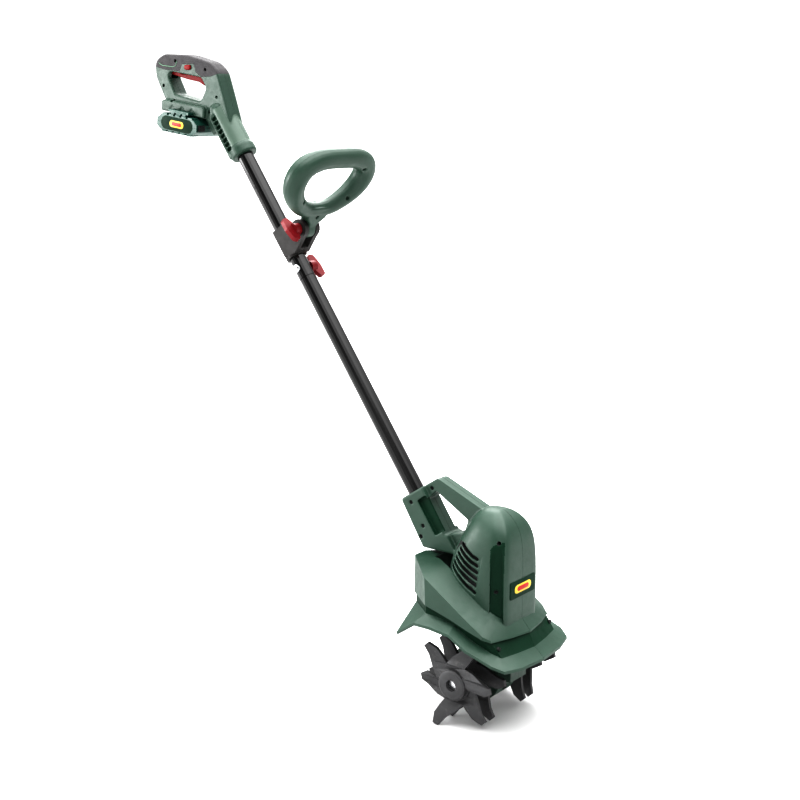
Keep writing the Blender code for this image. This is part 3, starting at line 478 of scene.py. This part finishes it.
def buildHousing():
    s = housingSet
    dome = loft("dome", s["sections"], s["plan"], machine)
    column = slab("column", rounded(s["column"], 4), 23, machine, edge=2.5)
    cutters = [slab("window", rounded(s["window"], 4), 60, machine)]
    for sign in (-1, 1):
        cutters.append(slab("pocket", rounded(s["pocket"], 2), 8, pole,
                            shift=sign * 24))
        cutters.append(brick("flank", (20, 160, 200), (sign * 23.3, -112, 300), pole))
    column = combine(column, cutters, "DIFFERENCE")
    housing = combine(dome, [column])
    cutters = [bar("tubeBore", 15.2, 60, (0, 0, 330), "Z", pole)]
    for i in range(s["slots"]):
        start = Vector((9 + 4.2 * i, 240 - 8.6 * i))
        end = Vector((-31 + 0.4 * i, 221 - 11.6 * i))
        along = (start - end).normalized()
        across = Vector((-along.y, along.x)) * s["slotHalf"]
        bend = (start - end) * 0.3 + end - across * 0.6
        outline = [end - across, bend - across, start - across, start + across, bend + across * 1.1,
                   end + across]
        cutters.append(slab("slot", rounded([tuple(p) for p in outline], 1.6, 3), 80, machine))
    panel = rounded(s["panel"], 6)
    panels = [slab("ventPanel", panel, 6, machine, shift=sign * 60) for sign in (-1, 1)]
    core = loft("core", [(z, f + 9, r - 9, w - 9) for z, f, r, w in s["sections"][:-2]], s["plan"], machine)
    slots = combine(cutters[1], cutters[2:])
    slots = combine(slots, [core], "DIFFERENCE")
    low, high = s["recess"]
    recessX, recessY = s["recessAt"]
    recessTurn = math.radians(s["recessTurn"])
    recesses = []
    for sign in (-1, 1):
        turn = Matrix.Translation((sign * recessX, recessY, 0)) @ Matrix.Rotation(sign * recessTurn, 4, "Z")
        outline = rounded([(-12.5, low), (11.5, low), (9.0, high), (-9.5, high)], 6)
        recesses.append(slab("recess", outline, 4, machine @ turn, plane="front", shift=-3))
    holes = []
    for y, z in s["screws"]:
        holes.append(bar("screwHole", 3.0, 130, (0, y, z), "X", machine))
    nodeWells = []
    for nodeName in ("housing_screw_1", "housing_screw_2", "housing_screw_3", "housing_screw_4"):
        lowCorner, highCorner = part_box(nodeName)
        middle = machine.inverted() @ ((lowCorner + highCorner) / 2)
        seat = (machine.inverted() @ lowCorner).x
        nodeWells.append((middle.y, middle.z))
        holes.append(bar("screwWell", 3.4, 60, (seat - 29, middle.y, middle.z), "X", machine, sides=24))
    inner = loft("screwCore", [(z, f + 14, r, w - 6.5) for z, f, r, w in s["sections"][:-2]], s["plan"],
                 machine)
    sideHoles = combine(holes[0], [holes[1]])
    sideHoles = combine(sideHoles, [inner], "DIFFERENCE")
    housing = combine(housing, [cutters[0], *panels, slots, *recesses, sideHoles, *holes[2:]], "DIFFERENCE")
    housing = soften(housing, s["voxel"], 5)

    toMachine = machine.inverted()
    profile = s["sections"]

    def widthAt(z):
        for (z0, *_, w0), (z1, *_, w1) in zip(profile, profile[1:]):
            if z0 <= z <= z1:
                return w0 + (w1 - w0) * (z - z0) / max(z1 - z0, 1e-6)
        return 0

    def inSlot(co):
        p = toMachine @ co
        return -36 < p.y < 26 and 145 < p.z < 243 and 36 < abs(p.x) < widthAt(p.z) - 5 - max(0, p.y) * 0.5

    def inRecess(co):
        p = toMachine @ co
        side = -1 if p.x < 0 else 1
        normal = Vector((side * math.sin(recessTurn), -math.cos(recessTurn)))
        away = Vector((p.x - side * recessX, p.y - recessY))
        tangent = Vector((-normal.y, normal.x))
        return low < p.z < high and abs(away @ tangent) < 12 and -9 < away @ normal < -0.5 and abs(p.x) > 30

    wells = s["screws"] + nodeWells

    def inWell(co):
        p = toMachine @ co
        return any((p.y - y) ** 2 + (p.z - z) ** 2 < 3.5**2 for y, z in wells)

    def inPocket(co):
        p = pole.inverted() @ co
        return -31.4 < p.y < -9.6 and 237 < p.z < 307 and 14 < abs(p.x) < 22.2

    for side, sign in (("right", -1), ("left", 1)):
        half = cutAway(housing, world(sign * 0.25, 0, 0), Vector((-sign, 0, 0)), "housing_" + side)
        # painted shade: the side recesses and column pockets take the dark shade green, the vent slots and
        # screw wells the near-black painted hole shade
        paint(half, 1, inRecess)
        paint(half, 1, inPocket)
        paint(half, 2, inSlot)
        paint(half, 2, inWell)
        dress(half, "motor_housing_" + side, "shellGreen", "frame", ["housing_" + side], 60,
              extra=("paintedShadeAndLabelGreen", "paintedHoleShade"))
    bpy.data.objects.remove(housing)


buildHousing()
print("motor housing made")

# Badge on the housing's front

badgeSet = {"plate": (74, 30), "pill": (50, 15), "inner": (34, 8), "height": 172}


def pillOutline(width, height):
    return rounded([(-width / 2, -height / 2), (width / 2, -height / 2), (width / 2, height / 2),
                    (-width / 2, height / 2)], height / 2 - 0.1, 8)


def buildBadge():
    seat = turnedFrame(-84.9, badgeSet["height"], 0)
    width, height = badgeSet["plate"]
    plate = slab("plate",
                 rounded([(-width / 2, -height / 2), (width / 2, -height / 2), (width / 2, height / 2),
                                   (-width / 2, height / 2)], 3), 0.8, seat, plane="front", edge=0.2)
    dress(plate, "badge_plate_face", "paintedShadeAndLabelGreen", "frame", ["badge_plate"])
    for name, size, depth, look in (("badge_pill", badgeSet["pill"], 1.2, "badgeGold"),
                                    ("badge_pill_inner", badgeSet["inner"], 1.5, "badgeRed")):
        piece = slab(name, pillOutline(*size), depth, seat, plane="front", edge=0.3)
        dress(piece, name, look, "frame")


buildBadge()

# Loop handle

loopSet = {
    "line": [(0, 41, 13.5), (31, 45, 14.5), (59, 61, 16.5), (81, 86, 19), (88, 113, 20), (78, 136, 19.5),
             (46, 149, 18.5), (0, 151, 18)],
    "steps": 8, "voxel": 1.3,
    "screws": [(-63, 135), (63, 135), (-59, 71), (59, 71), (0, 33)],
}


def smoothRing(half, steps):
    # a closed Catmull-Rom line through half an outline and its mirror image
    points = [Vector(p) for p in half] + [Vector((-p[0], p[1], p[2])) for p in half[-2:0:-1]]
    line = []
    for i in range(len(points)):
        a, b, c, d = (points[(i + k) % len(points)] for k in (-1, 0, 1, 2))
        for j in range(steps):
            t = j / steps
            line.append(0.5 * (2 * b + (c - a) * t + (2 * a - 5 * b + 4 * c - d) * t**2
                               + (3 * b - a - 3 * c + d) * t**3))
    return line


def buildLoop():
    s = loopSet
    line = smoothRing(s["line"], s["steps"])
    ring = tubeAlong("ring", [(p.x, 0, p.y) for p in line], [p.z for p in line], loopPlane, 8, True)
    neck = slab("neck",
                rounded([(-9, -4), (9, -4), (10, 17), (24, 31), (30, 52), (-30, 52), (-24, 31), (-10, 17)],
                        3),
                13, loopPlane, plane="front", edge=2)
    ear = bar("ear", 17, 18.2, (0, 0, 0), "X", loopPlane, sides=48)
    loop = combine(ring, [neck, ear])
    holes = [bar("pivotHole", 4.6, 60, (0, 0, 0), "X", loopPlane)]
    holes += [bar("screwWell", 3.5, 16, (x, -15.8, z), "Y", loopPlane, sides=24) for x, z in s["screws"]]
    loop = combine(loop, holes, "DIFFERENCE")
    loop = soften(loop, s["voxel"], 5)
    normal = (loopPlane.to_3x3() @ Vector((0, 1, 0))).normalized()
    for side, sign in (("front", 1), ("rear", -1)):
        half = cutAway(loop, loopPivot - normal * sign * 0.00015, normal * sign, "loop_" + side)
        dress(half, "loop_handle_" + side + "_shell", "shellGreen", "loop",
              ["loop_handle_" + side], 60)
    bpy.data.objects.remove(loop)


buildLoop()
print("loop handle made")

# Soil guard

guardSet = {
    # each station of the right half runs down from the opening:
    # opening, ridge, foot, undercut, skirt, flange, lip
    "stations": [
        [(0, -80, None), (0, -102, 98), (0, -103, 95), (0, -101, 94), (0, -112, 72), (0, -130, 56),
         (0, -130.5, 51)],
        [(26, -79, None), (45, -95, 100), (46, -96, 97), (44, -92, 95), (43, -107, 73), (58, -126, 57),
         (58, -126.5, 52)],
        [(46, -72, None), (85, -80, 100), (87, -82, 97), (84, -80, 96), (81, -99, 74), (97, -116, 60),
         (97.3, -116.5, 55)],
        [(52, -60, None), (93, -68, 107), (94, -68, 101), (89, -68, 99), (86, -83, 79), (108, -97, 68),
         (108.5, -97, 63)],
        [(53, -35, None), (95, -35, 129), (96, -35, 112), (87, -36, 112), (87, -40, 94), (110.5, -45, 84),
         (111, -45, 79)],
        [(53, -5, None), (95, -5, 148), (96, -5, 122), (87, -6, 122), (88, -8, 112), (111, -12, 103),
         (111.5, -12, 98)],
        [(51, 16, None), (95, 25, 168), (96, 25, 130), (88, 25, 130), (89, 25, 118), (111, 30, 107),
         (111.5, 30, 102)],
        [(44, 34, None), (95, 50, 184), (95, 48, 135), (93, 48, 134), (92.5, 48, 121), (110, 62, 106),
         (110.5, 62, 101)],
        [(34, 62, 199), (62, 95, 207), (62, 96, 140), (60, 93, 138), (60, 93, 123), (106, 100, 80),
         (106.5, 101, 75)],
        [(30, 76, 199), (32, 95, 207), (32, 97, 140), (32, 94, 138), (32, 94, 123), (55, 104, 78),
         (55, 105, 73)],
        [(0, 76, 199), (0, 95, 199), (0, 97, 140), (0, 94, 138), (0, 94, 123), (0, 104, 78), (0, 105, 73)],
    ],
    "footLine": (119.5, 0.615, -83), "shell": 2.4, "bevel": 1.2, "screw": (78, -91, 87),
}


def buildGuard():
    s = guardSet
    level, rise, start = s["footLine"]
    stations = s["stations"] + [[(-x, y, z) for x, y, z in station] for station in s["stations"][-2:0:-1]]
    bm = bmesh.new()
    rows = []
    for station in stations:
        rows.append([bm.verts.new((-x, y, level + rise * (y - start) if z is None else z))
                     for x, y, z in station])
    for row, after in zip(rows, rows[1:] + rows[:1]):
        for i in range(len(row) - 1):
            face = bm.faces.new((after[i], after[i + 1], row[i + 1], row[i]))
            # painted shade: the foot and undercut faces under the overhanging wall take the dark shade green
            face.material_index = 1 if i in (2, 3) else 0
    guard = holdMesh("guard", bm, machine)
    shell = guard.modifiers.new("Solidify", "SOLIDIFY")
    shell.thickness = s["shell"] * mm
    shell.offset = -1
    shell.use_even_offset = True
    guard = bakeModifiers(guard)
    for side, sign in (("right", -1), ("left", 1)):
        half = cutAway(guard, world(sign * 0.15, 0, 0), Vector((-sign, 0, 0)), "guard_" + side)
        dress(half, "soil_guard_" + side, "shellGreen", "frame", ["guard_" + side], 20,
              s["bevel"],
              ("paintedShadeAndLabelGreen",))
        x, y, z = s["screw"]
        # the screw head takes the painted hole shade
        head = bar("head", 3.2, 5, (sign * x, y, z), "Y", machine, sides=24)
        dress(head, "guard_screw_" + side, "paintedHoleShade", "frame", [], 40, 0.4)
    bpy.data.objects.remove(guard)


buildGuard()
print("soil guard made")

# Grip handle

gripSet = {
    "outline": [(556, 926, 0), (571, 972, 24), (588, 1021, 34), (609, 1037, 40), (666, 1051, 90),
                (730, 1054, 26),
                (757, 1042, 22), (753, 1010, 24), (729, 967, 14), (636, 953, 4), (606, 905, 0)],
    "window": [(727, 1024), (632, 1010), (618, 990), (634, 966), (702, 979)],
    "softEdge": [(746, 1030), (730, 1026), (687, 1022), (681, 1035), (650, 1035), (645, 1020), (630, 1011),
                 (604, 1012)],
    "softTop": [(570, 1021), (600, 1060), (666, 1080), (740, 1080), (790, 1060), (790, 1040)],
    "screws": [(699, 1041), (620, 1024), (592, 974), (612, 947), (733, 996), (704, 968)],
    "inlay": [(746, 1046), (743, 1037), (733, 1033), (706, 1030), (698, 1032), (695, 1040)],
    "vents": 8, "voxel": 1.4,
}


def onSkin(obj, place, point, away):
    # where a line from away towards the point first meets the object, in mm of the place
    start = place @ Vector(away)
    direction = (place @ Vector(point) - start).normalized()
    hit, spot, normal, index = obj.ray_cast(start, direction)
    return place.inverted() @ spot if hit else Vector(point)


def buildHandle():
    s = gripSet
    body = slab("gripBody", rounded(s["outline"], 8), 16.2, machine, edge=7)
    window = slab("gripWindow", rounded(s["window"], 9), 40, machine)
    body = combine(body, [window], "DIFFERENCE")
    neck = lathe("neck",
                 [(0, 1137), (14, 1137), (22, 1122), (22.6, 1041), (22.6, 1040), (23.8, 1038), (24.6, 1034),
                          (24.6, 1022), (23.2, 1020), (0, 1020)], (0, 0, 0), "Z", pole)
    flank = slab("flank", rounded([(0, 1024), (21.5, 1024), (21.5, 1112), (8, 1132), (0, 1132)], 4), 20.5,
                 pole,
                 edge=3)
    foot = slab("foot",
                rounded([(-55.4, 1.5), (-50, 1.5), (59.5, 1.5), (60, 19), (50, 23), (-52, 23), (-55.4, 18)],
                        2),
                24.5, packSeat, edge=2)
    body = combine(body, [neck, flank, foot])
    cutters = []
    for sign in (-1, 1):
        panel = rounded([(3.5, 1034), (17.5, 1034), (17.5, 1116), (3.5, 1116)], 6)
        cutters.append(slab("ventPanel", panel, 2, pole, shift=sign * 21.2))
        for i in range(s["vents"]):
            slot = rounded([(5.5, 1040 + 9.4 * i), (16.0, 1040 + 9.4 * i), (16.0, 1045 + 9.4 * i),
                            (5.5, 1045 + 9.4 * i)], 1.2)
            cutters.append(slab("vent", slot, 6, pole, shift=sign * 20))
        for i in range(3):
            facet = rounded([(-34 + 26 * i, 5), (-12 + 26 * i, 5), (-23 + 26 * i, 17)], 2)
            cutters.append(slab("facet", facet, 1.2, packSeat, shift=sign * 24.6))
    body = combine(body, cutters, "DIFFERENCE")
    body = soften(body, s["voxel"], 5)
    holes = [
        bar("neckBore", 15.2, 112, (0, 0, 1059), "Z", pole, sides=48),
        slab("triggerPocket", [(737, 1012), (737, 1037), (622, 1037), (622, 998)], 8.4, machine),
        brick("railHead", (60, 54, 5.4), (-8, 0, 5.9), packSeat),
        brick("railNeck", (60.4, 41, 12), (-8, 0, -0.4), packSeat),
        slab("lockHole", [(y + 665, z + 1028.5) for y, z in pillOutline(17, 9.8)], 41, machine),
    ]
    for y, z in s["screws"]:
        spot = onSkin(body, machine, (0, y, z), (-60, y, z))
        holes.append(bar("screwWell", 3.3, 14, (spot.x + 1, y, z), "X", machine, sides=24))
    body = combine(body, holes, "DIFFERENCE")
    line = [onSkin(body, machine, (0, y, z), (-60, y, z)) for y, z in s["inlay"]]
    zone = slab("softZone", s["softTop"] + s["softEdge"], 40, machine)
    grip = bodyCopy(body, "grip")
    grip = combine(grip, [zone], "INTERSECT")
    zone = slab("softZone", s["softTop"] + [(y, z - 0.4) for y, z in s["softEdge"]], 40, machine)
    body = combine(body, [zone], "DIFFERENCE")
    dress(grip, "soft_grip_cover", "gripRubber", "frame", ["soft_grip"], 50)
    inlay = tubeAlong("inlay", line, [0.75] * len(line), machine)
    dress(inlay, "grip_inlay_line", "inlayGreen", "frame", [], 60)
    for side, sign in (("right", -1), ("left", 1)):
        half = cutAway(body, world(sign * 0.15, 0, 0), Vector((-sign, 0, 0)), "handle_" + side)
        # the recessed vent panels take painted shade, the front of the sleeve a painted highlight
        paint(half, 1, inVent)
        paint(half, 2, inLitSleeve)
        dress(half, "grip_handle_" + side, "shellGreen", "frame", ["handle_" + side], 50,
              extra=("paintedShadeAndLabelGreen", "paintedLightSleeveGreen"))
    bpy.data.objects.remove(body)


# the recessed vent panels, where the painted shade goes
def inVent(co):
    p = pole.inverted() @ co
    return 4.5 < p.y < 17 and 1036 < p.z < 1114 and 12 < abs(p.x) < 18.9


# the front of the sleeve, where the painted light goes
def inLitSleeve(co):
    p = pole.inverted() @ co
    return p.y < 1 and 1041 < p.z < 1120 and p.xy.length < 23.2


def bodyCopy(obj, name):
    copy = bpy.data.objects.new(name, obj.data.copy())
    bpy.context.scene.collection.objects.link(copy)
    return copy


def buildTrigger():
    outline = rounded([(731, 1024), (716, 1016), (676, 1007), (646, 1002), (632, 995), (629, 998),
                       (636, 1009),
                       (640, 1015), (690, 1017.5), (716, 1029), (731, 1034)], 2.5, 4)
    lever = slab("lever", outline, 7.9, machine, edge=2.2)
    dress(lever, "trigger_lever", "triggerRed", "trigger", ["trigger"], 40)
    button = slab("button", [(y + 665, z + 1028.5) for y, z in pillOutline(16, 9)], 19, machine, shift=-0.5,
                  edge=1.5)
    dress(button, "lock_off_slider", "triggerRed", "lock_off",
          ["lock_off_button"], 40)


buildHandle()
buildTrigger()
print("grip handle made")

# Battery pack

packLook = {"notches": 6, "pitch": 17, "pill": (38, 13), "inner": (26, 6.5)}


def buildPack():
    for name in ("battery_case_top", "battery_case_bottom"):
        case = nodeCopy(name)
        notches = []
        height = 0 if name.endswith("top") else -34
        for i in range(packLook["notches"]):
            y = (i - (packLook["notches"] - 1) / 2) * packLook["pitch"]
            notches.append(brick("notch", (17, 5, 6.4), (-30.5, y, height), packSeat))
        grooves = combine(notches[0], notches[1:])
        case = combine(case, [grooves], "DIFFERENCE")
        dress(case, name + "_shell", "packGreen", "battery", [name], 30, 0.9)
    turn = Matrix.Translation((-38.0, 0, -17)) @ Matrix.Rotation(-math.pi / 2, 4, "Z")
    seat = packSeat @ turn
    rim = slab("rim", pillOutline(84, 25), 0.5, seat, plane="front", edge=0.2)
    dress(rim, "battery_label_field", "paintedShadeAndLabelGreen", "battery")
    for name, size, depth, look in (("battery_pill", packLook["pill"], 0.9, "badgeGold"),
                                    ("battery_pill_inner", packLook["inner"], 1.2, "badgeRed")):
        piece = slab(name, pillOutline(*size), depth, seat, plane="front", edge=0.3)
        dress(piece, name, look, "battery")


buildPack()
print("battery pack made")

# Pieces refined from their solids

refined = [
    ("gearcase_right", "shellGreen", "frame", 1.0), ("gearcase_left", "shellGreen", "frame", 1.0),
    ("clamp_right", "clampGrey", "frame", 0.8), ("clamp_left", "clampGrey", "frame", 0.8),
    ("battery_release_button", "partBlack", "battery_latch", 0.6),
    ("clamp_wing_knob", "knobRed", "clamp_knob", 1.2), ("joint_wing_knob", "knobRed", "joint_knob", 1.2),
    ("tine_outer_right", "tineGrey", "rotor", 0.7), ("tine_inner_right", "tineGrey", "rotor", 0.7),
    ("tine_outer_left", "tineGrey", "rotor", 0.7), ("tine_inner_left", "tineGrey", "rotor", 0.7),
]
for nodeName, look, body, edge in refined:
    refine(nodeName, nodeName + "_visual", look, body, edge)
print("refined pieces made")

# Stage, light and camera

stageSet = {
    "floorSize": 30.0, "floor": (0.50, 0.50, 0.50), "gamma": 0.66,
    "front": (-0.788, -0.616, 0),  # the side the camera looks from
    "skyBehind": 1.3, "skyFront": 0.10, "frontSpan": (-0.6, 0.9),
    "lowBand": (0.28, 0.36),  # heights between which the white of the horizon fades
    "skyTop": 6.8, "topSpan": (0.45, 0.92),
    "lamps": {
        "key": (8, (-1.4, -1.6, 2.9), 1.6),
        "side": (170, (-2.6, 3.6, 1.2), 2.0),
        "rim": (30, (1.9, 1.3, 2.2), 1.2),
    },
}


def buildStage():
    s = stageSet
    bm = bmesh.new()
    bmesh.ops.create_grid(bm, x_segments=1, y_segments=1, size=s["floorSize"])
    mesh = bpy.data.meshes.new("floor")
    bm.to_mesh(mesh)
    bm.free()
    floor = bpy.data.objects.new("floor", mesh)
    bpy.context.scene.collection.objects.link(floor)
    floor.location.z = -0.0005
    material = bpy.data.materials.new("floorWhite")
    material.use_nodes = True
    shader = material.node_tree.nodes["Principled BSDF"]
    shader.inputs["Base Color"].default_value = (*s["floor"], 1)
    shader.inputs["Roughness"].default_value = 0.8
    mesh.materials.append(material)
    sky = bpy.data.worlds.new("sky")
    sky.use_nodes = True
    tree = sky.node_tree
    tree.nodes["Background"].inputs[0].default_value = (1, 1, 1, 1)
    coords = tree.nodes.new("ShaderNodeTexCoord")
    facing = tree.nodes.new("ShaderNodeVectorMath")
    facing.operation = "DOT_PRODUCT"
    facing.inputs[1].default_value = s["front"]
    height = tree.nodes.new("ShaderNodeSeparateXYZ")
    tree.links.new(coords.outputs["Generated"], facing.inputs[0])
    tree.links.new(coords.outputs["Generated"], height.inputs[0])

    def span(source, limits, low, high, kind="LINEAR"):
        node = tree.nodes.new("ShaderNodeMapRange")
        node.interpolation_type = kind
        for key, value in zip(("From Min", "From Max", "To Min", "To Max"), (*limits, low, high)):
            node.inputs[key].default_value = value
        tree.links.new(source, node.inputs["Value"])
        return node.outputs["Result"]

    def blendOf(operation, first, second):
        node = tree.nodes.new("ShaderNodeMath")
        node.operation = operation
        tree.links.new(first, node.inputs[0])
        tree.links.new(second, node.inputs[1])
        return node.outputs[0]

    around = span(facing.outputs["Value"], s["frontSpan"], s["skyBehind"], s["skyFront"])
    band = span(height.outputs["Z"], s["lowBand"], s["skyBehind"], 0)
    top = span(height.outputs["Z"], s["topSpan"], 0, s["skyTop"], "SMOOTHSTEP")
    total = blendOf("ADD", blendOf("MAXIMUM", band, around), top)
    tree.links.new(total, tree.nodes["Background"].inputs[1])
    bpy.context.scene.world = sky
    for name, (power, place, size) in s["lamps"].items():
        lamp = bpy.data.lights.new(name, "AREA")
        lamp.energy = power
        lamp.size = size
        lampObject = bpy.data.objects.new(name, lamp)
        lampObject.location = place
        lampObject.rotation_euler = (Vector((0, 0, 0.5)) - Vector(place)).to_track_quat("-Z", "Y").to_euler()
        bpy.context.scene.collection.objects.link(lampObject)


cameraSet = {"aim": (0, 176, 457), "distance": 2.395, "azimuth": 52.0, "elevation": 12.4, "lens": 61.65}


def buildCamera():
    aim = world(*cameraSet["aim"])
    azimuth = math.radians(cameraSet["azimuth"])
    elevation = math.radians(cameraSet["elevation"])
    back = Vector((-math.sin(azimuth) * math.cos(elevation), -math.cos(azimuth) * math.cos(elevation),
                   math.sin(elevation)))
    camera = bpy.data.cameras.new("camera")
    camera.lens = cameraSet["lens"]
    camera.sensor_width = 36
    camera.clip_start = 0.05
    cameraObject = bpy.data.objects.new("camera", camera)
    cameraObject.location = aim + back * cameraSet["distance"]
    cameraObject.rotation_euler = (-back).to_track_quat("-Z", "Y").to_euler()
    bpy.context.scene.collection.objects.link(cameraObject)
    bpy.context.scene.camera = cameraObject


buildStage()
buildCamera()
bpy.context.scene.view_settings.view_transform = "Standard"
bpy.context.scene.view_settings.gamma = stageSet["gamma"]
print("stage, lights and camera set")
